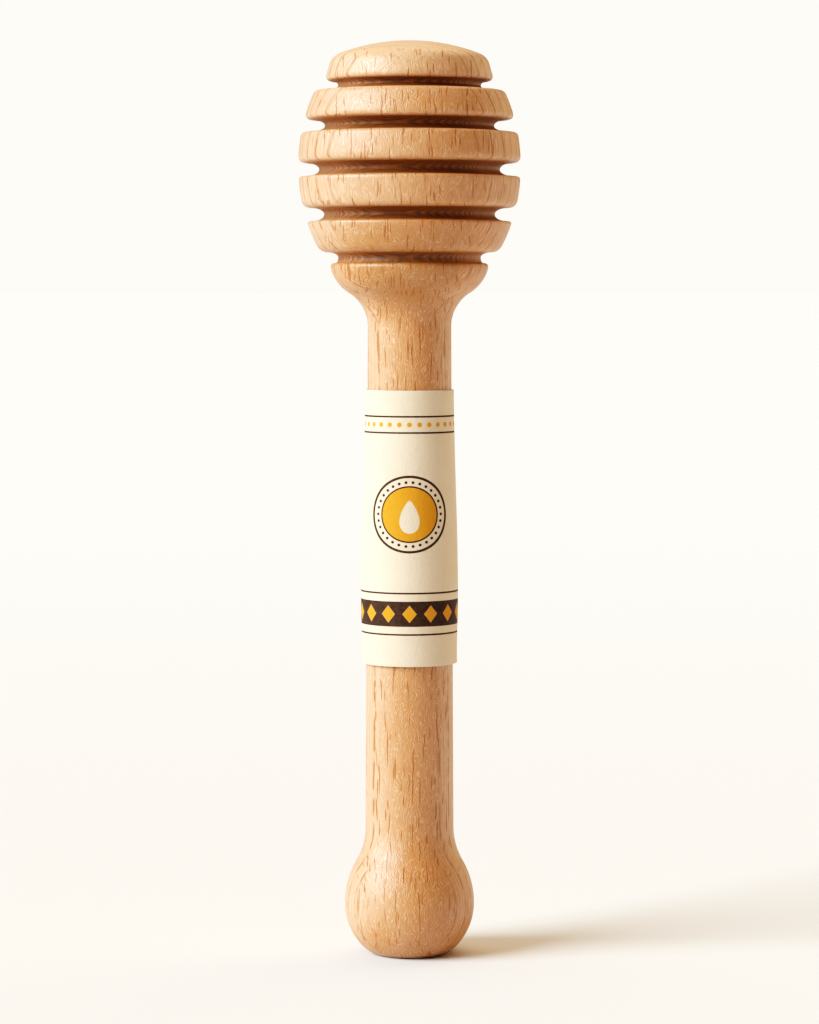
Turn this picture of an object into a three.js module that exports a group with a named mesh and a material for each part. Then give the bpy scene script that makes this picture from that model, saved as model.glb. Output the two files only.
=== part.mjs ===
// A honey dipper: one turned beech body, and a loose paper sleeve rolled round its handle.
// Millimetres, +Z up. The turning axis is Z, and the flat foot of the knob stands on z = 0.
import * as THREE from 'three';

// Body
const LENGTH = 160; // foot to crown

// Head, from the crown down: each ring's height, the width of the groove under it, and that groove's depth
// below the egg curve that the ring faces follow. The rings were turned by eye and differ a little.
const CAP_HEIGHT = 7;
const FIRST_GROOVE = 1.65;
const FIRST_GROOVE_DEPTH = 3.7;
const SECOND_RING = 5;
const SECOND_GROOVE = 2.25;
const SECOND_GROOVE_DEPTH = 3.9;
const THIRD_RING = 5.25;
const THIRD_GROOVE = 2.4;
const THIRD_GROOVE_DEPTH = 3.65;
const FOURTH_RING = 5.4;
const FOURTH_GROOVE = 2.35;
const FOURTH_GROOVE_DEPTH = 3.4;
const FIFTH_RING = 5.4;
const FIFTH_GROOVE = 1.85;
const FIFTH_GROOVE_DEPTH = 2.55;
const HEAD_RADIUS = 19.4; // widest point of the egg curve
const EGG_ABOVE_CROWN = 3.25; // upper end of the egg curve
const EGG_BELOW_RINGS = 8.2; // lower end of the egg curve, below the last groove
const UPPER_EDGE_EASE = 0.7; // rounding of a ring's upper edge
const LOWER_EDGE_EASE = 1.25; // rounding of a ring's lower edge
const CAP_INSET = 0.9; // the cap's lower edge, inside the egg curve
const CAP_TAPER = 1.2; // how much narrower the cap is at its shoulder
const CAP_SHOULDER_EASE = 1.35;
const DOME_RISE = 2.8; // crown above the cap's shoulder

// Neck and handle
const FLARE_INSET = 0.37; // the flare's widest point, inside the egg curve
const FLARE_EDGE_EASE = 1; // rounding of the flare's upper edge
const FLARE_ROUND = 7.2; // convex radius under the last groove
const NECK_FILLET = 6.9; // concave radius from the flare into the handle
const HANDLE_TOP_RADIUS = 7.31;
const HANDLE_BOTTOM_RADIUS = 7.77;

// Knob
const KNOB_RADIUS = 11.4;
const KNOB_MIDDLE = 8.9; // height of the knob's widest point
const KNOB_SHOULDER = 14.9; // convex radius above the widest point
const KNOB_FILLET = 12.2; // concave radius from the handle into the knob
const FOOT_RADIUS = 6.8; // foot before its edge is eased
const FOOT_EASE = 1.2;

// Paper sleeve
const SLEEVE_HEIGHT = 47.9;
const SLEEVE_BELOW_NECK = 11; // top edge, below the end of the neck's fillet
const PAPER = 0.2;
const TOP_CLEARANCE = 0.2; // between the paper and the wood at the top edge
const BELLY_CLEARANCE = 0.78; // and where the sleeve stands off most
const BOTTOM_CLEARANCE = 0.54; // and at the bottom edge
const BELLY_BELOW_TOP = 34;
const OVERLAP = 8; // length of paper that lies over the other end
const LAP_RUN = 7; // length over which the outer end climbs onto the inner one

// Glue line in the overlap
const GLUE = 0.1;
const GLUE_CLEARANCE = 0.05; // between the glue and each layer of paper
const GLUE_MARGIN = 1.5; // left free of glue along every edge of the overlap

// Facets
const TURNED_SIDES = 48;
const CURVE_STEPS = 5;
const GROOVE_STEPS = 3;
const EASE_STEPS = 3;
const SLEEVE_SIDES = 80;
const SLEEVE_ROWS = 6;
const GLUE_SIDES = 8;
const SAME_POINT = 1e-6; // curve ends nearer than this are one point

const { smoothstep, lerp, mapLinear } = THREE.MathUtils;

const rings = [
  { height: CAP_HEIGHT, groove: FIRST_GROOVE, depth: FIRST_GROOVE_DEPTH },
  { height: SECOND_RING, groove: SECOND_GROOVE, depth: SECOND_GROOVE_DEPTH },
  { height: THIRD_RING, groove: THIRD_GROOVE, depth: THIRD_GROOVE_DEPTH },
  { height: FOURTH_RING, groove: FOURTH_GROOVE, depth: FOURTH_GROOVE_DEPTH },
  { height: FIFTH_RING, groove: FIFTH_GROOVE, depth: FIFTH_GROOVE_DEPTH },
];

// Heights of the ring stack and of the egg curve.
const stackHeight = rings.reduce((sum, ring) => sum + ring.height + ring.groove, 0);
const stackBottom = LENGTH - stackHeight;
const eggHalfLength = (EGG_ABOVE_CROWN + stackHeight + EGG_BELOW_RINGS) / 2;
const eggMiddle = LENGTH + EGG_ABOVE_CROWN - eggHalfLength;

const eggAngle = (z) => Math.asin((z - eggMiddle) / eggHalfLength);
const eggRadius = (z) => HEAD_RADIUS * Math.cos(eggAngle(z));

// Two arcs that touch each other, one bulging out and one hollow: the height between their centres, and the
// angle at which they meet, above or below the radial direction.
function arcPair(convexCentreRadius, convexRound, hollowCentreRadius, hollowRound) {
  const across = hollowCentreRadius - convexCentreRadius;
  const reach = convexRound + hollowRound;
  return { rise: Math.sqrt(reach ** 2 - across ** 2), angle: Math.acos(across / reach) };
}

// Neck: the flare's arc is centred level with the middle of the last groove.
const flareMiddle = stackBottom + FIFTH_GROOVE / 2;
const flareCentre = eggRadius(stackBottom) - FLARE_INSET - FLARE_ROUND;
const flareRadius = (z) => flareCentre + Math.sqrt(FLARE_ROUND ** 2 - (flareMiddle - z) ** 2);
const neckCentre = HANDLE_TOP_RADIUS + NECK_FILLET;
const neckArcs = arcPair(flareCentre, FLARE_ROUND, neckCentre, NECK_FILLET);
const handleTop = flareMiddle - neckArcs.rise;

// Knob: a hollow arc from the handle, a convex shoulder, and one arc from the widest point to the foot.
const shoulderCentre = KNOB_RADIUS - KNOB_SHOULDER;
const knobFilletCentre = HANDLE_BOTTOM_RADIUS + KNOB_FILLET;
const knobArcs = arcPair(shoulderCentre, KNOB_SHOULDER, knobFilletCentre, KNOB_FILLET);
const handleBottom = KNOB_MIDDLE + knobArcs.rise;
const footStep = KNOB_RADIUS - FOOT_RADIUS;
const bowlRound = (footStep ** 2 + KNOB_MIDDLE ** 2) / (2 * footStep);
const bowlCentre = KNOB_RADIUS - bowlRound;

const handleRadius = (z) => mapLinear(z, handleTop, handleBottom, HANDLE_TOP_RADIUS, HANDLE_BOTTOM_RADIUS);

// Half section of the body, from the crown down to the foot: x is the radius and y the height.
function turnedSection() {
  const points = [];
  const add = (curve, steps) => {
    const found = curve.getPoints(steps);
    points.push(...found);
    return found.at(-1);
  };
  const at = (radius, height) => new THREE.Vector2(radius, height);
  const arc = (radius, height, round, from, to) =>
    new THREE.EllipseCurve(radius, height, round, round, from, to, to < from);
  const ease = (from, corner, to) => add(new THREE.QuadraticBezierCurve(from, corner, to), EASE_STEPS);

  // Cap: a dome, an eased shoulder and a slightly tapered band.
  const capBottom = LENGTH - CAP_HEIGHT;
  const capCorner = at(eggRadius(capBottom) - CAP_INSET, capBottom);
  const shoulder = at(capCorner.x - CAP_TAPER, LENGTH - DOME_RISE);
  const domeRound = (shoulder.x ** 2 + DOME_RISE ** 2) / (2 * DOME_RISE);
  const domeEnd = Math.acos((shoulder.x - CAP_SHOULDER_EASE) / domeRound);
  const crown = add(arc(0, LENGTH - domeRound, domeRound, Math.PI / 2, domeEnd), CURVE_STEPS);
  const band = capCorner.clone().sub(shoulder).normalize();
  ease(crown, shoulder, shoulder.clone().addScaledVector(band, CAP_SHOULDER_EASE));

  // Rings and grooves. Each half of a groove is a quarter ellipse from the end of an eased edge to the floor.
  let height = LENGTH;
  rings.forEach((ring, index) => {
    const isCap = index === 0;
    const isLast = index === rings.length - 1;
    const upper = height - ring.height;
    const lower = upper - ring.groove;
    const middle = (upper + lower) / 2;
    const floor = eggRadius(middle) - ring.depth;
    const hollow = (wall, from, to) =>
      add(new THREE.EllipseCurve(wall, middle, wall - floor, ring.groove / 2, from, to), GROOVE_STEPS);

    const upperCorner = isCap ? capCorner : at(eggRadius(upper), upper);
    const upperFace = isCap
      ? capCorner.clone().addScaledVector(band, -LOWER_EDGE_EASE)
      : at(eggRadius(upper + LOWER_EDGE_EASE), upper + LOWER_EDGE_EASE);
    const upperWall = upperCorner.x - LOWER_EDGE_EASE;
    ease(upperFace, upperCorner, at(upperWall, upper));
    hollow(upperWall, Math.PI / 2, Math.PI);

    const faceRadius = isLast ? flareRadius : eggRadius;
    const edgeEase = isLast ? FLARE_EDGE_EASE : UPPER_EDGE_EASE;
    const lowerCorner = at(faceRadius(lower), lower);
    const lowerWall = lowerCorner.x - edgeEase;
    hollow(lowerWall, Math.PI, 1.5 * Math.PI);
    const faceStart = lower - edgeEase;
    ease(at(lowerWall, lower), lowerCorner, at(faceRadius(faceStart), faceStart));
    if (!isLast) {
      const faceEnd = lower - rings[index + 1].height + LOWER_EDGE_EASE;
      add(new THREE.EllipseCurve(0, eggMiddle, HEAD_RADIUS, eggHalfLength,
        eggAngle(faceStart), eggAngle(faceEnd), true), CURVE_STEPS);
    }
    height = lower;
  });

  // Flare, neck, handle and knob.
  const flareStart = -Math.asin((flareMiddle - stackBottom + FLARE_EDGE_EASE) / FLARE_ROUND);
  add(arc(flareCentre, flareMiddle, FLARE_ROUND, flareStart, -neckArcs.angle), CURVE_STEPS);
  add(arc(neckCentre, handleTop, NECK_FILLET, Math.PI - neckArcs.angle, Math.PI), CURVE_STEPS);
  add(arc(knobFilletCentre, handleBottom, KNOB_FILLET, Math.PI, Math.PI + knobArcs.angle), CURVE_STEPS);
  add(arc(shoulderCentre, KNOB_MIDDLE, KNOB_SHOULDER, knobArcs.angle, 0), CURVE_STEPS);
  const footEaseAngle = -Math.asin((KNOB_MIDDLE - FOOT_EASE) / bowlRound);
  const bowlEnd = add(arc(bowlCentre, KNOB_MIDDLE, bowlRound, 0, footEaseAngle), CURVE_STEPS);
  ease(bowlEnd, at(FOOT_RADIUS, 0), at(FOOT_RADIUS - FOOT_EASE, 0));
  points.push(at(0, 0));

  // Neighbouring curves share their end points.
  return points.filter((point, index) => index === 0 || point.distanceTo(points[index - 1]) > SAME_POINT);
}

// Sleeve. A flat strip is rolled round the handle: its length goes round, its thickness outwards and its
// height up, and its outer end climbs onto its inner end at the back (+Y).
const sleeveTop = handleTop - SLEEVE_BELOW_NECK;
const sleeveBottom = sleeveTop - SLEEVE_HEIGHT;
const lapHeight = PAPER + GLUE + 2 * GLUE_CLEARANCE;
const rollRadius = handleRadius(sleeveTop) + TOP_CLEARANCE + PAPER;
const turnLength = 2 * Math.PI * rollRadius;
const stripLength = turnLength + OVERLAP;

function paperInnerRadius(z) {
  const belowTop = sleeveTop - z;
  const towardsBelly = smoothstep(belowTop, 0, BELLY_BELOW_TOP);
  const towardsBottom = smoothstep(belowTop, BELLY_BELOW_TOP, SLEEVE_HEIGHT);
  const belly = lerp(TOP_CLEARANCE, BELLY_CLEARANCE, towardsBelly);
  return handleRadius(z) + lerp(belly, BOTTOM_CLEARANCE, towardsBottom);
}

// Bends a box, with x along the strip from its inner end, y out from the paper's inner face and z up from the
// sleeve's bottom edge, to its place in the roll.
function roll(strip, liftAt) {
  const position = strip.attributes.position;
  const innerEnd = Math.PI / 2 + OVERLAP / 2 / rollRadius;
  for (let i = 0; i < position.count; i += 1) {
    const along = position.getX(i);
    const height = position.getZ(i);
    const radius = paperInnerRadius(sleeveBottom + height) + liftAt(along) + position.getY(i);
    const angle = innerEnd - along / rollRadius;
    position.setXYZ(i, radius * Math.cos(angle), radius * Math.sin(angle), height);
  }
  strip.computeVertexNormals();
  return strip;
}

function paperStrip() {
  const strip = new THREE.BoxGeometry(stripLength, PAPER, SLEEVE_HEIGHT, SLEEVE_SIDES, 1, SLEEVE_ROWS);
  strip.translate(stripLength / 2, PAPER / 2, SLEEVE_HEIGHT / 2);
  return roll(strip, (along) => lapHeight * smoothstep(along, turnLength - LAP_RUN, turnLength));
}

function glueLine() {
  const width = OVERLAP - 2 * GLUE_MARGIN;
  const height = SLEEVE_HEIGHT - 2 * GLUE_MARGIN;
  const line = new THREE.BoxGeometry(width, GLUE, height, GLUE_SIDES, 1, SLEEVE_ROWS);
  line.translate(OVERLAP / 2, PAPER + GLUE_CLEARANCE + GLUE / 2, SLEEVE_HEIGHT / 2);
  return roll(line, () => 0);
}

function piece(name, geometry, finish) {
  const mesh = new THREE.Mesh(geometry, new THREE.MeshStandardMaterial(finish));
  mesh.name = name;
  return mesh;
}

const body = new THREE.LatheGeometry(turnedSection().reverse(), TURNED_SIDES);
body.rotateX(Math.PI / 2);

const sleeve = new THREE.Group();
sleeve.position.z = sleeveBottom;
sleeve.add(
  piece('label_sleeve', paperStrip(), { color: 0xf4e9d2, roughness: 0.85, metalness: 0 }),
  piece('seam_glue', glueLine(), { color: 0xe8dcc2, roughness: 0.35, metalness: 0 }),
);

const honeyDipper = new THREE.Group();
honeyDipper.add(piece('dipper', body, { color: 0xd9a877, roughness: 0.5, metalness: 0 }), sleeve);

export default honeyDipper;
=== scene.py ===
"""A turned beech honey dipper with a loose printed paper sleeve: surfaces, finishes, light and camera."""
import math
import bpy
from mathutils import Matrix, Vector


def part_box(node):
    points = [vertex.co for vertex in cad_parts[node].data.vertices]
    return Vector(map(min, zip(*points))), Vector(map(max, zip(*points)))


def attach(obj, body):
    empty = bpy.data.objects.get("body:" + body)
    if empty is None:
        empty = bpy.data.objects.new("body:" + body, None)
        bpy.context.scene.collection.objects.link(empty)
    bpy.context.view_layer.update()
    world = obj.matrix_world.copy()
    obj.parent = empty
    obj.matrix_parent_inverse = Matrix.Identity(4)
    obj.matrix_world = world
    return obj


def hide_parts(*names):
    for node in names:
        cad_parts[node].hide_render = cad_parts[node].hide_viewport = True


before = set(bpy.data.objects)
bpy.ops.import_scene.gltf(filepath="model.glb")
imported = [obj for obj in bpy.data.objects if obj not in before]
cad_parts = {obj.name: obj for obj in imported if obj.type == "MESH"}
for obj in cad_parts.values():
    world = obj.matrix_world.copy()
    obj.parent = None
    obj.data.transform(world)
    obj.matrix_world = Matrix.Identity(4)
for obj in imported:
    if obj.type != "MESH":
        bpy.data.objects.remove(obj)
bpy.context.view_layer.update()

from types import SimpleNamespace

import bpy
import numpy as np
from mathutils import Vector

MM = 0.001  # the sizes below are in millimetres, and the meshes are in metres

# Places that the solids give
dipper_low, dipper_high = (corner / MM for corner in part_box("dipper"))
sleeve_low, sleeve_high = (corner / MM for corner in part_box("label_sleeve"))
LENGTH = dipper_high.z - dipper_low.z
SLEEVE_BOTTOM = sleeve_low.z
SLEEVE_HEIGHT = sleeve_high.z - sleeve_low.z

# Head: rings from the crown down, and the groove under each one with its depth below the egg curve
RING_HEIGHTS = (7, 5, 5.25, 5.4, 5.4)
GROOVE_WIDTHS = (1.65, 2.25, 2.4, 2.35, 1.85)
GROOVE_DEPTHS = (3.7, 3.9, 3.65, 3.4, 2.55)
HEAD_RADIUS = 19.4
EGG_ABOVE_CROWN = 3.25
EGG_BELOW_RINGS = 8.2
UPPER_EDGE_EASE = 0.7
LOWER_EDGE_EASE = 1.25
CAP_INSET = 0.9
CAP_TAPER = 1.2
CAP_SHOULDER_EASE = 1.35
DOME_RISE = 2.8

# Neck, handle and knob
FLARE_INSET = 0.37
FLARE_EDGE_EASE = 1
FLARE_ROUND = 7.2
NECK_FILLET = 6.9
HANDLE_TOP_RADIUS = 7.31
HANDLE_BOTTOM_RADIUS = 7.77
KNOB_RADIUS = 11.4
KNOB_MIDDLE = 8.9
KNOB_SHOULDER = 14.9
KNOB_FILLET = 12.2
FOOT_RADIUS = 6.8
FOOT_EASE = 1.2

# Paper sleeve and the glue in its overlap
PAPER = 0.2
TOP_CLEARANCE = 0.2
BELLY_CLEARANCE = 0.78
BOTTOM_CLEARANCE = 0.54
BELLY_BELOW_TOP = 34
OVERLAP = 8
LAP_RUN = 7
GLUE = 0.1
GLUE_CLEARANCE = 0.05
GLUE_MARGIN = 1.5

# Fineness of the surfaces
OUTLINE_STEP = 0.45  # longest step along the turned outline's arcs
FEWEST_ARC_STEPS = 3
HANDLE_STEP = 1.5
EASE_POINTS = 7
HOLLOW_POINTS = 9
FACE_POINTS = 12
FOOT_POINTS = 8
TURNED_SIDES = 224
SAME_POINT = 1e-6
STRIP_STEPS = 256
STRIP_ROWS = 56
SHEET_EDGE_POINTS = 7
FEWEST_STRIP_STEPS = 8

# Heights of the ring stack and the egg curve that the ring faces follow
stack_height = sum(RING_HEIGHTS) + sum(GROOVE_WIDTHS)
stack_bottom = LENGTH - stack_height
egg_half = (EGG_ABOVE_CROWN + stack_height + EGG_BELOW_RINGS) / 2
egg_middle = LENGTH + EGG_ABOVE_CROWN - egg_half
cap_bottom = LENGTH - RING_HEIGHTS[0]


def egg_radius(height):
    """The egg curve: an upright half ellipse, as radius over height."""
    return HEAD_RADIUS * np.sqrt(1 - ((height - egg_middle) / egg_half) ** 2)


def touching_arcs(convex_centre, convex_round, hollow_centre, hollow_round):
    """Height between the centres of a convex and a hollow arc that touch, and the angle where they meet."""
    across = hollow_centre - convex_centre
    reach = convex_round + hollow_round
    return math.sqrt(reach**2 - across**2), math.acos(across / reach)


flare_middle = stack_bottom + GROOVE_WIDTHS[-1] / 2
flare_centre = egg_radius(stack_bottom) - FLARE_INSET - FLARE_ROUND
neck_centre = HANDLE_TOP_RADIUS + NECK_FILLET
neck_rise, neck_angle = touching_arcs(flare_centre, FLARE_ROUND, neck_centre, NECK_FILLET)
handle_top = flare_middle - neck_rise

shoulder_centre = KNOB_RADIUS - KNOB_SHOULDER
knob_fillet_centre = HANDLE_BOTTOM_RADIUS + KNOB_FILLET
knob_rise, knob_angle = touching_arcs(shoulder_centre, KNOB_SHOULDER, knob_fillet_centre, KNOB_FILLET)
handle_bottom = KNOB_MIDDLE + knob_rise


def handle_radius(height):
    """The handle's straight taper."""
    share = (height - handle_top) / (handle_bottom - handle_top)
    return HANDLE_TOP_RADIUS + share * (HANDLE_BOTTOM_RADIUS - HANDLE_TOP_RADIUS)


def arc(radius, height, bend, start, end):
    """Outline points on a circle of radius bend about (radius, height), from one angle to another."""
    steps = max(FEWEST_ARC_STEPS, math.ceil(bend * abs(end - start) / OUTLINE_STEP))
    angle = np.linspace(start, end, steps + 1)
    return np.column_stack((radius + bend * np.cos(angle), height + bend * np.sin(angle)))


def hollow(wall, floor, middle, half, start, end):
    """A quarter ellipse between the wall of a groove and its floor."""
    angle = np.linspace(start, end, HOLLOW_POINTS)
    return np.column_stack((wall + (wall - floor) * np.cos(angle), middle + half * np.sin(angle)))


def ease(start, corner, end):
    """A corner rounded by the curve (1-t)^2 start + 2t(1-t) corner + t^2 end."""
    t = np.linspace(0, 1, EASE_POINTS)[:, None]
    return (1 - t) ** 2 * np.array(start) + 2 * t * (1 - t) * np.array(corner) + t**2 * np.array(end)


def cap_outline():
    """The dome, the eased shoulder and the tapered band of the top ring, and the band's lower corner."""
    corner = np.array((egg_radius(cap_bottom) - CAP_INSET, cap_bottom))
    shoulder = np.array((corner[0] - CAP_TAPER, LENGTH - DOME_RISE))
    bend = (shoulder[0] ** 2 + DOME_RISE**2) / (2 * DOME_RISE)
    dome = arc(0, LENGTH - bend, bend, math.pi / 2, math.acos((shoulder[0] - CAP_SHOULDER_EASE) / bend))
    dome[0, 0] = 0
    along_band = (corner - shoulder) / np.linalg.norm(corner - shoulder)
    band_start = ease(dome[-1], shoulder, shoulder + CAP_SHOULDER_EASE * along_band)
    return [dome, band_start], corner, corner - LOWER_EDGE_EASE * along_band


def flare_radius(height):
    """The convex arc under the last groove, as radius over height."""
    return flare_centre + np.sqrt(FLARE_ROUND**2 - (flare_middle - height) ** 2)


def rings_outline(corner, face_end):
    """Every groove, from the eased lower edge of the ring above to the eased upper edge of the ring below.

    Each half of a groove is a quarter ellipse. Between two grooves the ring's face follows the egg curve.
    """
    curves = []
    height = LENGTH
    for index, (ring, groove, depth) in enumerate(zip(RING_HEIGHTS, GROOVE_WIDTHS, GROOVE_DEPTHS)):
        upper = height - ring
        lower = upper - groove
        middle = (upper + lower) / 2
        floor = egg_radius(middle) - depth
        if index > 0:
            corner = (egg_radius(upper), upper)
            face_end = (egg_radius(upper + LOWER_EDGE_EASE), upper + LOWER_EDGE_EASE)
            face = np.linspace(curves[-1][-1, 1], face_end[1], FACE_POINTS)
            curves.append(np.column_stack((egg_radius(face), face)))
        wall = corner[0] - LOWER_EDGE_EASE
        curves.append(ease(face_end, corner, (wall, upper)))
        curves.append(hollow(wall, floor, middle, groove / 2, math.pi / 2, math.pi))
        is_last = index == len(RING_HEIGHTS) - 1
        below, edge_ease = (flare_radius, FLARE_EDGE_EASE) if is_last else (egg_radius, UPPER_EDGE_EASE)
        edge = (below(lower), lower)
        wall = edge[0] - edge_ease
        curves.append(hollow(wall, floor, middle, groove / 2, math.pi, 1.5 * math.pi))
        curves.append(ease((wall, lower), edge, (below(lower - edge_ease), lower - edge_ease)))
        height = lower
    return curves


def stem_outline():
    """The flare, the neck, the handle, the knob and the flat foot."""
    flare_start = -math.asin((flare_middle - stack_bottom + FLARE_EDGE_EASE) / FLARE_ROUND)
    handle = np.linspace(handle_top, handle_bottom, round((handle_top - handle_bottom) / HANDLE_STEP))
    foot_step = KNOB_RADIUS - FOOT_RADIUS
    bowl = (foot_step**2 + KNOB_MIDDLE**2) / (2 * foot_step)
    bowl_end = -math.asin((KNOB_MIDDLE - FOOT_EASE) / bowl)
    bowl_curve = arc(KNOB_RADIUS - bowl, KNOB_MIDDLE, bowl, 0, bowl_end)
    flat = FOOT_RADIUS - FOOT_EASE
    return [
        arc(flare_centre, flare_middle, FLARE_ROUND, flare_start, -neck_angle),
        arc(neck_centre, handle_top, NECK_FILLET, math.pi - neck_angle, math.pi),
        np.column_stack((handle_radius(handle), handle)),
        arc(knob_fillet_centre, handle_bottom, KNOB_FILLET, math.pi, math.pi + knob_angle),
        arc(shoulder_centre, KNOB_MIDDLE, KNOB_SHOULDER, knob_angle, 0),
        bowl_curve,
        ease(bowl_curve[-1], (FOOT_RADIUS, 0), (flat, 0)),
        np.column_stack((np.linspace(flat, 0, FOOT_POINTS), np.zeros(FOOT_POINTS))),
    ]


def turned_outline():
    """The half section from the crown to the middle of the foot, with shared end points taken once."""
    cap, corner, face_end = cap_outline()
    points = np.concatenate(cap + rings_outline(corner, face_end) + stem_outline())
    step = np.linalg.norm(np.diff(points, axis=0), axis=1)
    return points[np.concatenate(([True], step > SAME_POINT))]


def add_piece(name, vertices, faces, finish, flat_faces=0):
    """A mesh object from points in millimetres. All faces but the last few are smooth."""
    mesh = bpy.data.meshes.new(name)
    mesh.from_pydata((vertices * MM).tolist(), [], faces)
    smooth = np.arange(len(faces)) < len(faces) - flat_faces
    mesh.polygons.foreach_set("use_smooth", smooth)
    mesh.materials.append(finish)
    piece = bpy.data.objects.new(name, mesh)
    bpy.context.scene.collection.objects.link(piece)
    return piece


def turned_body(name, outline, finish):
    """A solid of revolution: outline point (r, h) goes to (r cos a, r sin a, h) for every angle a.

    The first and the last point lie on the axis and are single poles.
    """
    angle = np.arange(TURNED_SIDES) * 2 * math.pi / TURNED_SIDES
    radius, height = outline[1:-1, :1], outline[1:-1, 1:]
    rows = np.stack((radius * np.cos(angle), radius * np.sin(angle), height + 0 * angle), -1)
    poles = np.array([(0, 0, outline[0, 1]), (0, 0, outline[-1, 1])])
    vertices = np.concatenate((rows.reshape(-1, 3), poles))
    here = np.arange(len(rows) * TURNED_SIDES).reshape(len(rows), TURNED_SIDES)
    beside = np.roll(here, -1, 1)
    crown, foot = here.size, here.size + 1
    quads = np.stack((here[:-1], here[1:], beside[1:], beside[:-1]), -1).reshape(-1, 4)
    top = np.column_stack((np.full(TURNED_SIDES, crown), here[0], beside[0]))
    bottom = np.column_stack((np.full(TURNED_SIDES, foot), beside[-1], here[-1]))
    return add_piece(name, vertices, quads.tolist() + top.tolist() + bottom.tolist(), finish)


def smoothstep(value, low, high):
    """0 below low, 1 above high, and 3t^2 - 2t^3 between them."""
    t = np.clip((value - low) / (high - low), 0, 1)
    return t * t * (3 - 2 * t)


# The roll of the paper strip: its inner end lies behind the handle, and its outer end climbs over it
sleeve_top = SLEEVE_BOTTOM + SLEEVE_HEIGHT
roll_radius = handle_radius(sleeve_top) + TOP_CLEARANCE + PAPER
turn_length = 2 * math.pi * roll_radius
strip_length = turn_length + OVERLAP
front_along = strip_length / 2
lap_height = PAPER + GLUE + 2 * GLUE_CLEARANCE


def paper_inner_radius(up):
    """Inside of the roll at a height above its lower edge: close to the handle on top, fuller below."""
    below_top = SLEEVE_HEIGHT - up
    fullness = smoothstep(below_top, 0, BELLY_BELOW_TOP)
    clearance = TOP_CLEARANCE + (BELLY_CLEARANCE - TOP_CLEARANCE) * fullness
    drawn_in = smoothstep(below_top, BELLY_BELOW_TOP, SLEEVE_HEIGHT)
    clearance = clearance + (BOTTOM_CLEARANCE - clearance) * drawn_in
    return handle_radius(SLEEVE_BOTTOM + up) + clearance


def rolled(along, up, out):
    """Where a point of the flat strip goes: along runs round the handle, up along it, out away from it."""
    angle = math.pi / 2 + (OVERLAP / 2 - along) / roll_radius
    climb = lap_height * smoothstep(along, turn_length - LAP_RUN, turn_length)
    radius = paper_inner_radius(up) + climb + out
    return np.stack((radius * np.cos(angle), radius * np.sin(angle), SLEEVE_BOTTOM + up), -1)


def rolled_sheet(name, start, end, low, high, inner, thickness, finish):
    """A sheet with round edges, carried round the roll.

    Its section is a thin stadium, from low to high and from inner to inner + thickness. The section is
    repeated at even steps along the strip, and one flat face closes each end.
    """
    edge = thickness / 2
    rise = np.linspace(low + edge, high - edge, STRIP_ROWS)
    turn = np.linspace(math.pi / 2, -math.pi / 2, SHEET_EDGE_POINTS)[1:-1]
    bulge = edge * np.cos(turn)
    up = np.concatenate((rise, high - edge + bulge, rise[::-1], low + edge - bulge))
    out = inner + edge + edge * np.concatenate(
        (np.ones(STRIP_ROWS), np.sin(turn), -np.ones(STRIP_ROWS), -np.sin(turn)))
    steps = max(FEWEST_STRIP_STEPS, round(STRIP_STEPS * (end - start) / strip_length))
    along = np.linspace(start, end, steps + 1)[:, None] + 0 * up
    up, out = up + 0 * along, out + 0 * along
    here = np.arange(along.size).reshape(along.shape)
    beside = np.roll(here, -1, 1)
    sides = np.stack((here[:-1], here[1:], beside[1:], beside[:-1]), -1).reshape(-1, 4)
    ends = [here[0].tolist(), here[-1][::-1].tolist()]
    sheet = add_piece(name, rolled(along, up, out).reshape(-1, 3), sides.tolist() + ends, finish, len(ends))
    place = np.stack((front_along - along, up, out), -1).astype(np.float32)
    flat_place = sheet.data.attributes.new("flat_place", "FLOAT_VECTOR", "POINT")
    flat_place.data.foreach_set("vector", place.ravel())
    return sheet


MIX_FACTOR, MIX_FIRST, MIX_SECOND, MIX_COLOUR = 0, 6, 7, 2  # sockets of a Mix node that is set to colour


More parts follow.
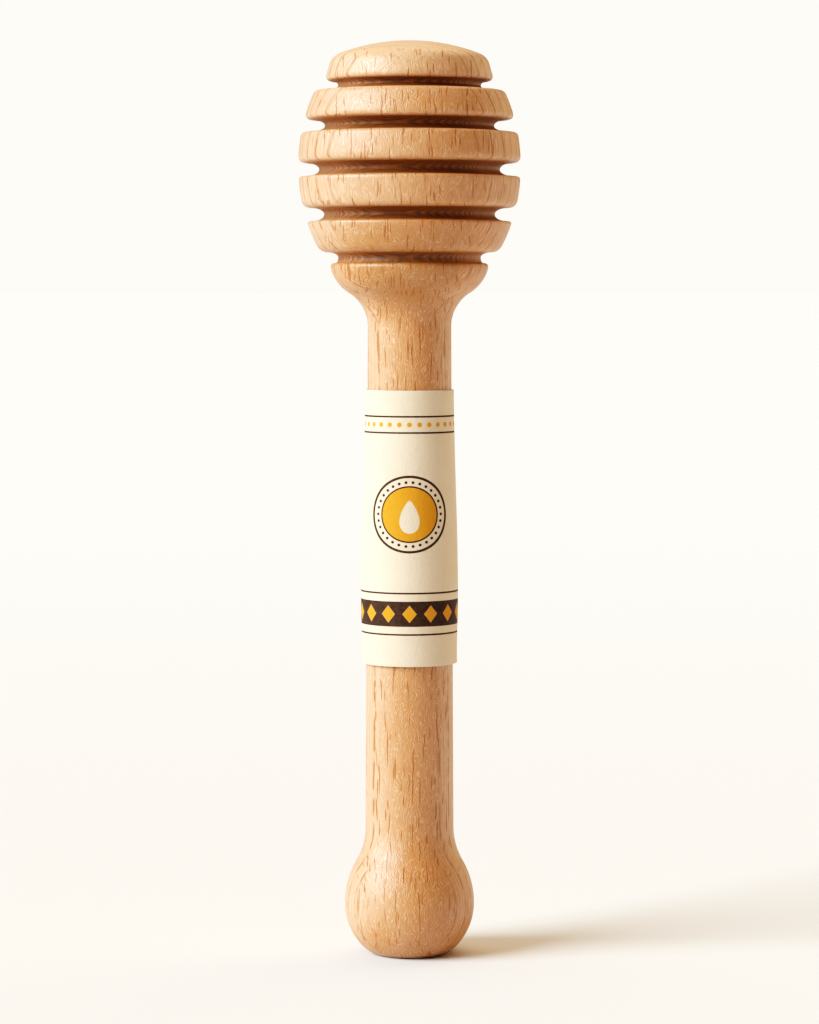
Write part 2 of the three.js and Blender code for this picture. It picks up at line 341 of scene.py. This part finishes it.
class Shade:
    """A socket of a finish. Arithmetic on it adds Math nodes to the finish's node tree."""

    def __init__(self, tree, socket=None):
        self.tree = tree
        self.socket = socket

    def node(self, kind, settings=None, sockets=None, output=0):
        """Adds any node: its settings first, then a value or a link for each socket that is named."""
        made = self.tree.nodes.new("ShaderNode" + kind)
        for setting, value in (settings or {}).items():
            setattr(made, setting, value)
        for socket, value in (sockets or {}).items():
            if isinstance(value, Shade):
                self.tree.links.new(value.socket, made.inputs[socket])
            else:
                made.inputs[socket].default_value = value
        return Shade(self.tree, made.outputs[output] if made.outputs else None)

    def math(self, operation, *values):
        return self.node("Math", {"operation": operation}, dict(enumerate(values)))

    def __add__(self, other):
        return self.math("ADD", self, other)

    def __radd__(self, other):
        return self.math("ADD", other, self)

    def __sub__(self, other):
        return self.math("SUBTRACT", self, other)

    def __rsub__(self, other):
        return self.math("SUBTRACT", other, self)

    def __mul__(self, other):
        return self.math("MULTIPLY", self, other)

    def __rmul__(self, other):
        return self.math("MULTIPLY", other, self)

    def __truediv__(self, other):
        return self.math("DIVIDE", self, other)

    def __pow__(self, other):
        return self.math("POWER", self, other)

    def __abs__(self):
        return self.math("ABSOLUTE", self)

    def length_with(self, other):
        """Length of the vector with these two components."""
        return self.math("SQRT", self * self + other * other)

    def most(self, other):
        return self.math("MAXIMUM", self, other)

    def fraction(self):
        return self.math("FRACT", self)

    def smooth(self, low, high):
        """0 below low, 1 above high and a smooth step between them."""
        settings = {"interpolation_type": "SMOOTHSTEP"}
        return self.node("MapRange", settings, {"Value": self, "From Min": low, "From Max": high})

    def parts(self):
        """The three components of a vector."""
        split = self.node("SeparateXYZ", None, {0: self}).socket.node
        return [Shade(self.tree, socket) for socket in split.outputs]

    def stretched(self, sizes):
        """This place measured in cells of the given sizes."""
        cells = tuple(1 / size for size in sizes)
        return self.node("VectorMath", {"operation": "MULTIPLY"}, {0: self, 1: cells})

    def noise(self, sizes, detail=2.0, roughness=0.5, distortion=0.0):
        """Noise about 0, with cells of the given sizes."""
        sockets = {"Vector": self.stretched(sizes), "Scale": 1.0, "Detail": detail, "Roughness": roughness,
                   "Distortion": distortion}
        return self.node("TexNoise", None, sockets, "Fac") - 0.5

    def mixed(self, first, second):
        """The first colour where this is 0, and the second where it is 1."""
        sockets = {MIX_FACTOR: self, MIX_FIRST: first, MIX_SECOND: second}
        return self.node("Mix", {"data_type": "RGBA"}, sockets, MIX_COLOUR)

    def scaled_by(self, amount):
        """A colour or a vector times a number."""
        return self.node("VectorMath", {"operation": "SCALE"}, {0: self, "Scale": amount})


def new_finish(name):
    """An empty material and its node tree."""
    finish = bpy.data.materials.new(name)
    finish.use_nodes = True
    finish.node_tree.nodes.clear()
    return finish, Shade(finish.node_tree)


def close_finish(start, sockets, relief, relief_height):
    """Ends a finish in a Principled shader, with its relief as a bump of a height in millimetres."""
    bump = start.node("Bump", None, {"Strength": 1.0, "Distance": relief_height * MM, "Height": relief})
    shader = start.node("BsdfPrincipled", None, {**sockets, "Normal": bump})
    start.node("OutputMaterial", None, {"Surface": shader})


# Beech: the tree, and the marks that it leaves
PITH = (9, 58)  # heart of the tree, behind the dipper
GROWTH = 2.3  # width of a growth ring
LATE_WOOD_START = (0.76, 0.87)  # shares of a growth ring between which its dark edge sets in
LATE_WOOD_END = (0.93, 0.97)
LAYER = 0.62  # width of the fine layers in a growth ring
FIBRE_PITCH = 0.47  # between the fibres that wind over the front
CREST = (0.2, 0.95)  # heights of a layer or fibre between which its crest sets in
VESSEL_CELLS = ((0.62, 6, 17), (0.58, 6, 11), (0.55, 5, 6))  # each holds one dash
VESSEL_EDGE = (0.12, 0.17)  # shares of a cell between which a dash ends
BEECH_RELIEF = 0.1

# Beech: sizes of its noises, how far some of them carry, and values between which others set in
SWAY_CELL = (16, 16, 75)
SWAY = 3.4
RIPPLE_CELL = (1.5, 1.5, 5)
RIPPLE_IN_DEPTH = 0.35
RIPPLE_IN_VESSELS = 0.9
BREAK_CELL = (1.2, 1.2, 2.6)
BREAK_EDGE = (-0.06, 0.08)
CURL_CELL = (1.05, 1.05, 3.6)
CURL = 4.2
SWIRL_CELL = (1.05, 1.05, 1.5)
SWIRL = 4.3
STRENGTH_CELL = (1.2, 1.2, 2.0)
STRENGTH_EDGE = (-0.14, 0.14)
TUFT_CELL = (0.5, 0.5, 1.1)
TUFT_EDGE = (-0.14, 0.05)
PORE_CELL = (0.17, 0.17, 3.0)
BEECH_CLOUD_CELL = (8, 8, 20)

# Beech: where its regions set in. Facing is 1 in front and behind, and 0 at the sides
FRONT_FACING = (0.6, 0.95)
FIBRE_FACING = (0.4, 0.8)
VESSEL_FACING = (0.3, 0.65)
SIDE_REACH = 7
CROWN_REACH = 12
END_GRAIN_FULL = 0.4 * DOME_RISE  # below the crown
LOWER_HEAD = (4, 15)  # above the bottom of the ring stack
NECK_START = (-2, 8)  # above the handle
NECK_END = 10  # above the bottom of the ring stack
KNOB_HEIGHTS = (10, 26)
FOOT_HEIGHTS = (2, 9)
GROOVE_SHADE_RECESS = (0.9, 2.8)  # depths below the egg curve between which the painted shade of the grooves sets in
STACK_EDGE = 0.2

# Beech: colours
BEECH_PALE = (0.61, 0.35, 0.205, 1)
BEECH_WARM = (0.495, 0.205, 0.068, 1)
CROWN_PAINTED_LIGHT = (0.65, 0.405, 0.245, 1)  # painted light: the crown paler, as lit from above
# paler fibre crests, partly a painted highlight
FIBRE_CREST_AND_HIGHLIGHT = (0.78, 0.54, 0.36, 1)
# darker fibre troughs, partly painted shade; also the painted shade on the neck
FIBRE_TROUGH_AND_SHADE = (0.44, 0.175, 0.04, 1)
DASH = (0.335, 0.1, 0.008, 1)  # vessels and the late wood of a growth ring
GROOVE_SHADE = (0.262, 0.079, 0.005, 1)  # painted shade in the grooves


def beech_regions(start):
    """The place in millimetres, and the share that each region of the dipper has there."""
    at = SimpleNamespace(place=start.node("TexCoord", None, None, "Object").scaled_by(1 / MM))
    at.x, at.y, at.z = at.place.parts()
    radius = at.x.length_with(at.y)
    at.facing = abs(at.y) / radius
    at.side_grain = 1 - at.z.smooth(LENGTH - DOME_RISE, LENGTH - END_GRAIN_FULL)
    at.front = at.facing.smooth(*FRONT_FACING) * at.side_grain
    at.crown = at.z.smooth(LENGTH - CROWN_REACH, LENGTH)
    at.head = at.z.smooth(handle_top, stack_bottom)
    at.below = 1 - at.z.smooth(stack_bottom + LOWER_HEAD[0], stack_bottom + LOWER_HEAD[1])
    # the neck under the ring stack, which gets painted shade
    neck_start = at.z.smooth(handle_top + NECK_START[0], handle_top + NECK_START[1])
    at.neck = neck_start * (1 - at.z.smooth(stack_bottom, stack_bottom + NECK_END))
    egg_share = ((at.z - egg_middle) / egg_half) ** 2
    recess = HEAD_RADIUS * start.math("SQRT", (1 - egg_share).most(0)) - radius
    over_flare = at.z.smooth(stack_bottom - STACK_EDGE, stack_bottom)
    under_cap = 1 - at.z.smooth(cap_bottom, cap_bottom + STACK_EDGE)
    # where the grooves get painted shade: recessed below the egg curve, between the flare and the cap
    at.burnish = recess.smooth(*GROOVE_SHADE_RECESS) * over_flare * under_cap
    return at


def beech_dashes(start, at, depth, ripple):
    """Dark marks: late wood as broken lines at the sides, and vessels as dashes in front and behind."""
    season = (depth / GROWTH).fraction()
    late_wood = season.smooth(*LATE_WOOD_START) * (1 - season.smooth(*LATE_WOOD_END))
    broken = at.place.noise(BREAK_CELL).smooth(*BREAK_EDGE)
    unbroken = 0.55 - 0.4 * at.below
    dash = late_wood * (unbroken + (1 - unbroken) * broken) * (1 - at.front)
    shown = at.facing.smooth(*VESSEL_FACING) * at.side_grain
    wider = 0.018 + 0.017 * at.below - 0.03 * (1 - at.z.smooth(*KNOB_HEIGHTS))
    wandering = start.node("CombineXYZ", None, {0: at.x + RIPPLE_IN_VESSELS * ripple, 1: at.y, 2: at.z})
    for cell in VESSEL_CELLS:
        vessel = {"Vector": wandering.stretched(cell), "Scale": 1.0, "Randomness": 1.0}
        far = start.node("TexVoronoi", None, vessel, "Distance")
        dash = (shown * (1 - (far - wider).smooth(*VESSEL_EDGE))).most(dash)
    return dash


def beech_fibres(start, at, depth):
    """The fine layers, the raised and sunken shares of layers and winding fibres, and their relief.

    The raised shares are coloured paler, partly as a painted highlight, and the sunken ones darker, partly
    as painted shade.
    """
    in_front = at.front * (1 - at.burnish)
    curl = at.place.noise(CURL_CELL, detail=1.5) * in_front
    layer = start.math("SINE", (depth + CURL * curl) * (2 * math.pi / LAYER))
    layer = layer * (1 - 0.7 * in_front * (1 - at.head))
    strong = at.place.noise(STRENGTH_CELL, detail=1).smooth(*STRENGTH_EDGE)
    swirl = at.place.noise(SWIRL_CELL, detail=1)
    fibre = start.math("SINE", (at.x / FIBRE_PITCH + SWIRL * swirl) * (2 * math.pi))
    fibrous = at.facing.smooth(*FIBRE_FACING) * at.side_grain * (1 - at.burnish) * (1 - 0.7 * at.head)
    tuft = fibrous * at.place.noise(TUFT_CELL, detail=1).smooth(*TUFT_EDGE)
    raised = (0.72 * strong * layer.smooth(*CREST)).most(0.8 * tuft * fibre.smooth(*CREST))
    sunken_fibre = 0.35 * tuft * (0 - fibre).smooth(*CREST)
    sunken = ((1 - 0.5 * strong) * (0 - layer).smooth(*CREST)).most(sunken_fibre)
    return layer, raised, sunken, strong * layer + 0.75 * tuft * fibre


def beech_warmth(at):
    """How far the wood leans from its pale colour to its warm one.

    Part of the lean is painted shade: warmer and darker towards the right side, and on the neck under the
    rings.
    """
    cloud = at.place.noise(BEECH_CLOUD_CELL)
    side = abs(at.x).smooth(0, SIDE_REACH)
    foot = 1 - at.z.smooth(*FOOT_HEIGHTS)
    # the 0.018 * x term is painted shade, warmer towards the right side; the neck term is painted shade
    # under the rings
    warmth = 0.3 + 0.26 * at.front + 0.018 * at.x + 0.42 * at.neck + 0.7 * cloud
    return warmth + at.below * (0.1 + 0.15 * at.front + side * (0.6 * foot - 0.18 * (1 - at.neck)))


def beech():
    """Sanded beech, coloured by the depth of each place in the tree.

    The heart lies far behind the dipper, so growth rings show as upright lines on its sides and as arcs on
    its crown. In front the fine layers lie flat and curl, short fibres wind across them, and vessels show
    as dashes. The grooves and the front of the neck are darkened with painted shade, the right side leans
    warmer as painted shade, and the crown is paler as painted light.
    """
    finish, start = new_finish("beech")
    at = beech_regions(start)
    sway = at.place.noise(SWAY_CELL, detail=1)
    ripple = at.place.noise(RIPPLE_CELL)
    depth = (at.x - PITH[0]).length_with(at.y - PITH[1]) + SWAY * sway + RIPPLE_IN_DEPTH * ripple
    dash = beech_dashes(start, at, depth, ripple)
    layer, raised, sunken, relief = beech_fibres(start, at, depth)
    pore = at.place.noise(PORE_CELL, detail=3, roughness=0.65)
    colour = beech_warmth(at).smooth(0, 1).mixed(BEECH_PALE, BEECH_WARM)
    for share, tint in (
        # painted light on the crown, paler as lit from above
        (0.85 * at.crown, CROWN_PAINTED_LIGHT),
        # painted shade on the front of the neck, under the rings
        (0.75 * at.neck * at.front, FIBRE_TROUGH_AND_SHADE),
        # paler crests, partly a painted highlight
        (0.45 * raised, FIBRE_CREST_AND_HIGHLIGHT),
        # darker troughs, partly painted shade
        (0.4 * sunken, FIBRE_TROUGH_AND_SHADE),
        (0.95 * dash, DASH),
        # painted shade in the grooves, strongest in front and behind
        (at.burnish * (0.7 + 0.3 * at.front), GROOVE_SHADE),
    ):
        colour = share.mixed(colour, tint)
    # the pores' tone and the layer lines in the grooves, plus painted shade that darkens the grooves and
    # the neck in front and behind
    shading = 0.5 * pore + 0.25 * at.burnish * layer - 0.14 * at.front * (at.burnish + at.neck)
    close_finish(start, {
        "Base Color": colour.scaled_by(1 + shading),
        "Roughness": 0.46 + 0.2 * pore - 0.08 * raised + 0.1 * at.burnish,
        "IOR": 1.5,
        "Specular IOR Level": 0.7,
    }, 0.2 * pore + 0.18 * relief - 0.25 * dash, BEECH_RELIEF)
    return finish


# Printed paper
PAPER_CREAM = (0.73, 0.605, 0.455, 1)
PAPER_SHADE = (0.685, 0.55, 0.4, 1)
PAPER_CUT = (0.76, 0.70, 0.58, 1)
INK_AMBER = (0.62, 0.26, 0.012, 1)
INK_BROWN = (0.036, 0.011, 0.004, 1)
INK_EDGE = 0.05  # softness of a printed edge
PULP_CELL = (0.8, 0.8, 0.8)
HAIR_CELL = (0.35, 2.6, 1.0)
PAPER_CLOUD_CELL = (7, 7, 7)
PAPER_RELIEF = 0.08
OUTER_FACE = (0.7 * PAPER, 0.95 * PAPER)  # depths in the paper between which the ink sets in
CUT_EDGE = 0.5 * PAPER
ROUNDEL_UP = 26.5
ROUNDEL_RING = (6.3, 6.75)
ROUNDEL_BEADS = (5.55, 30, 0.26)  # radius of the circle, count and radius of a bead
ROUNDEL_DISC = 4.8
ROUNDEL_RIM_HALF = 0.14
DROP_LENGTH = 3.1
DROP_WIDTH = 0.5
DROP_SINK = 0.08  # share of its length by which the drop hangs low
DROP_EDGE = 0.025
BAND_UP = 9.2
BAND_HALF = 2.2
DIAMOND_PITCH = 3.5
DIAMOND_HALF = (1.15, 1.5)
RULES = (5.6, 12.8, 40.6, 43.4)
RULE_HALF = 0.16
DOT_UP = 42.0
DOT_PITCH = 1.75
DOT_RADIUS = 0.42


def inside(distance):
    """1 where a printed shape's signed distance is below 0."""
    return 1 - distance.smooth(-INK_EDGE, INK_EDGE)


def repeated(across, pitch):
    """Distance from the nearest of a row of points with the given pitch."""
    return ((across / pitch + 0.5).fraction() - 0.5) * pitch


def roundel(across, up):
    """Amber and brown shares of a disc with a drop left bare, a ring of beads and an outer ring."""
    above = up - ROUNDEL_UP
    far = across.length_with(above)
    height = above / DROP_LENGTH + DROP_SINK
    drop_half = DROP_WIDTH**2 * (1 - height).most(0) ** 2 * (1 + height)
    drop = (drop_half - (across / DROP_LENGTH) * (across / DROP_LENGTH)).smooth(0, DROP_EDGE)
    circle, count, bead = ROUNDEL_BEADS
    turn = across.math("ARCTAN2", above, across) * (count / (2 * math.pi))
    bead_far = repeated(turn, 1.0) * (2 * math.pi * circle / count)
    beads = inside(bead_far.length_with(far - circle) - bead)
    ring = inside(abs(far - sum(ROUNDEL_RING) / 2) - (ROUNDEL_RING[1] - ROUNDEL_RING[0]) / 2)
    disc = inside(far - ROUNDEL_DISC)
    rim = inside(abs(far - ROUNDEL_DISC) - ROUNDEL_RIM_HALF)
    return disc - drop, ring.most(beads).most(rim)


def printed_paper():
    """Uncoated cream paper with a two-colour print: a roundel in front, and bands and rules all round."""
    finish, start = new_finish("printed_paper")
    flat = start.node("Attribute", {"attribute_name": "flat_place"}, None, "Vector")
    across, up, out = flat.parts()
    pulp = flat.noise(PULP_CELL, detail=4, roughness=0.65)
    hairs = flat.noise(HAIR_CELL, distortion=2.0)
    cloud = flat.noise(PAPER_CLOUD_CELL)
    paper = (0.35 + 1.1 * cloud + 0.7 * pulp + 0.4 * hairs).smooth(0, 1).mixed(PAPER_CREAM, PAPER_SHADE)
    amber, brown = roundel(across, up)
    band = inside(abs(up - BAND_UP) - BAND_HALF)
    beside = abs(repeated(across, DIAMOND_PITCH))
    diamond = inside(beside / DIAMOND_HALF[0] + abs(up - BAND_UP) / DIAMOND_HALF[1] - 1)
    amber = amber.most(diamond)
    brown = brown.most(band - diamond)
    for rule in RULES:
        brown = brown.most(inside(abs(up - rule) - RULE_HALF))
    dots = inside(repeated(across, DOT_PITCH).length_with(up - DOT_UP) - DOT_RADIUS)
    amber = amber.most(dots)
    worn = out.smooth(*OUTER_FACE) * (0.985 + 0.1 * pulp)
    colour = (amber * worn).mixed(paper, INK_AMBER)
    colour = (brown * worn).mixed(colour, INK_BROWN)
    off_edge = (SLEEVE_HEIGHT / 2 - abs(up - SLEEVE_HEIGHT / 2)).smooth(0, CUT_EDGE)
    colour = off_edge.mixed(PAPER_CUT, colour)
    close_finish(start, {
        "Base Color": colour,
        "Roughness": 0.78 - 0.16 * brown * worn,
        "IOR": 1.45,
        "Specular IOR Level": 0.26,
    }, pulp + 0.5 * hairs, PAPER_RELIEF)
    return finish


# Dried glue
GLUE_PALE = (0.72, 0.55, 0.30, 1)
GLUE_DEEP = (0.62, 0.43, 0.20, 1)
GLUE_BUBBLE = (0.82, 0.72, 0.52, 1)
FLOW_CELL = (1.2, 1.2, 5)
BUBBLE_CELL = (0.8, 0.8, 0.8)
BUBBLE_EDGE = (0.08, 0.16)
GLUE_RELIEF = 0.01


def dried_glue():
    """Dried paper glue: clear amber, glossy, with faint flow marks and small bubbles."""
    finish, start = new_finish("dried_glue")
    place = start.node("TexCoord", None, None, "Object").scaled_by(1 / MM)
    flow = place.noise(FLOW_CELL, detail=3)
    bubbles = {"Vector": place.stretched(BUBBLE_CELL), "Scale": 1.0}
    bubble = 1 - start.node("TexVoronoi", None, bubbles, "Distance").smooth(*BUBBLE_EDGE)
    colour = (0.5 + 1.2 * flow).smooth(0, 1).mixed(GLUE_PALE, GLUE_DEEP)
    close_finish(start, {
        "Base Color": bubble.mixed(colour, GLUE_BUBBLE),
        "Roughness": 0.26 + 0.2 * flow,
        "IOR": 1.48,
    }, flow - 0.6 * bubble, GLUE_RELIEF)
    return finish


def dress():
    """The three pieces, each on its body and in place of its solid."""
    dipper = turned_body("turned_dipper", turned_outline(), beech())
    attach(dipper, "dipper")
    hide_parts("dipper")

    sleeve = rolled_sheet("paper_sleeve", 0, strip_length, 0, SLEEVE_HEIGHT, 0, PAPER, printed_paper())
    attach(sleeve, "sleeve")
    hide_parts("label_sleeve")

    glue = rolled_sheet("sleeve_glue", GLUE_MARGIN, OVERLAP - GLUE_MARGIN, GLUE_MARGIN,
                        SLEEVE_HEIGHT - GLUE_MARGIN, PAPER + GLUE_CLEARANCE, GLUE, dried_glue())
    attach(glue, "sleeve")
    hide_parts("seam_glue")


# Photograph: its size, and where its eye level and the ends of the dipper lie in it
IMAGE_HEIGHT = 1024
FOCAL_LENGTH = 3500  # pixels
EYE_ROW = 290
CROWN_ROW = 40.7
FOOT_ROW = 952
SENSOR = 24
NEAREST = 0.01  # metres


def place_camera():
    """A camera whose eye level and distance put the crown and the foot on their rows of the photograph."""
    pitch = math.atan((IMAGE_HEIGHT / 2 - EYE_ROW) / FOCAL_LENGTH)
    crown_slope, foot_slope = (
        math.tan(math.atan((IMAGE_HEIGHT / 2 - row) / FOCAL_LENGTH) - pitch)
        for row in (CROWN_ROW, FOOT_ROW))
    distance = LENGTH / (crown_slope - foot_slope)
    lens = bpy.data.cameras.new("camera")
    lens.sensor_fit = "VERTICAL"
    lens.sensor_height = SENSOR
    lens.lens = SENSOR * FOCAL_LENGTH / IMAGE_HEIGHT
    lens.clip_start = NEAREST
    camera = bpy.data.objects.new("camera", lens)
    camera.location = (0, -distance * MM, -distance * foot_slope * MM)
    camera.rotation_euler = (math.pi / 2 - pitch, 0, 0)
    bpy.context.scene.collection.objects.link(camera)
    bpy.context.scene.camera = camera


# Studio
FLOOR_HALF = 200.0  # metres
FLOOR_DROP = 0.02  # millimetres that the floor lies below the foot
FLOOR_SHADE_FADE = (-0.2, 1.2)  # metres behind the dipper over which the painted shade on the floor fades out
# painted shade: the floor warmer and darker in front
FLOOR_FRONT_SHADE = (0.985, 0.93, 0.89, 1)
BACKDROP = (0.968, 0.953, 0.883)
SKY = (0.01, 0.006, 0.003)
CONTRAST = 0.6  # gamma of the finished picture
SHOULDER = 0.5  # how gently bright light is held back; smaller is stronger
SHOULDER_POINTS = (0.05, 0.15, 0.35, 0.65)
ALL_CHANNELS = 3  # index of the curve that bends red, green and blue alike
LIGHTS = {  # azimuth (0 is behind the camera, left is negative), elevation, angular width, strength, colour
    "key_light": (-63, 28, 38, 4.6, (0.93, 1.0, 0.98)),
    "high_back_light": (180, 60, 70, 1.45, (1.0, 0.77, 0.5)),
    "high_front_light": (10, 60, 70, 0.35, (1.0, 0.42, 0.16)),
    "warm_fill": (70, 10, 120, 0.2, (1.0, 0.58, 0.32)),
    "rim_light": (125, 15, 60, 0.9, (1.0, 0.8, 0.47)),
    "left_rim_light": (-110, 15, 70, 0.6, (0.4, 0.8, 1.0)),
}


def soft_light(name, azimuth, elevation, width, strength, colour):
    """A far round light of the given angular width."""
    lamp = bpy.data.lights.new(name, "SUN")
    lamp.energy = strength
    lamp.angle = math.radians(width)
    lamp.color = colour
    light = bpy.data.objects.new(name, lamp)
    a, e = math.radians(azimuth), math.radians(elevation)
    towards = Vector((math.sin(a) * math.cos(e), -math.cos(a) * math.cos(e), math.sin(e)))
    light.rotation_euler = towards.to_track_quat("Z", "Y").to_euler()
    bpy.context.scene.collection.objects.link(light)


def floor_white():
    """The floor colour that looks like the backdrop under these lights."""
    light = np.array(SKY)
    for _, elevation, _, strength, colour in LIGHTS.values():
        light = light + strength / math.pi * math.sin(math.radians(elevation)) * np.array(colour)
    return tuple(np.array(BACKDROP) / light) + (1,)


def develop(picture):
    """Gives the picture a film-like curve, with a shoulder that holds bright colours back."""
    picture.view_transform = "Standard"
    picture.gamma = CONTRAST
    picture.use_curve_mapping = True
    curve = picture.curve_mapping.curves[ALL_CHANNELS]
    for light in SHOULDER_POINTS:
        curve.points.new(light, light * (1 + SHOULDER) / (light + SHOULDER))
    picture.curve_mapping.update()


def studio():
    """A pale floor that runs into a pale backdrop, under a soft light from the left and weaker ones."""
    corners = np.array([(-1, -1), (1, -1), (1, 1), (-1, 1)]) * FLOOR_HALF / MM
    finish, start = new_finish("floor_paper")
    _, away, _ = start.node("TexCoord", None, None, "Object").parts()
    white = floor_white()
    # painted shade on the floor in front of the dipper, fading out behind it
    colour = away.smooth(*FLOOR_SHADE_FADE).mixed(tuple(np.multiply(white, FLOOR_FRONT_SHADE)), white)
    matt = {"Base Color": colour, "Roughness": 0.9, "Specular IOR Level": 0}
    shader = start.node("BsdfPrincipled", None, matt)
    start.node("OutputMaterial", None, {"Surface": shader})
    floor = add_piece("floor", np.insert(corners, 2, -FLOOR_DROP, axis=1), [[0, 1, 2, 3]], finish)
    for name, light in LIGHTS.items():
        soft_light(name, *light)

    world = bpy.data.worlds.new("studio")
    bpy.context.scene.world = world
    world.use_nodes = True
    world.node_tree.nodes.clear()
    sky = Shade(world.node_tree)
    glow = sky.node("Background", None, {"Color": SKY + (1,)})
    seen = sky.node("Background", None, {"Color": BACKDROP + (1,)})
    by_camera = sky.node("LightPath", None, None, "Is Camera Ray")
    either = sky.node("MixShader", None, {0: by_camera, 1: glow, 2: seen})
    sky.node("OutputWorld", None, {"Surface": either})
    develop(bpy.context.scene.view_settings)


place_camera()
dress()
studio()
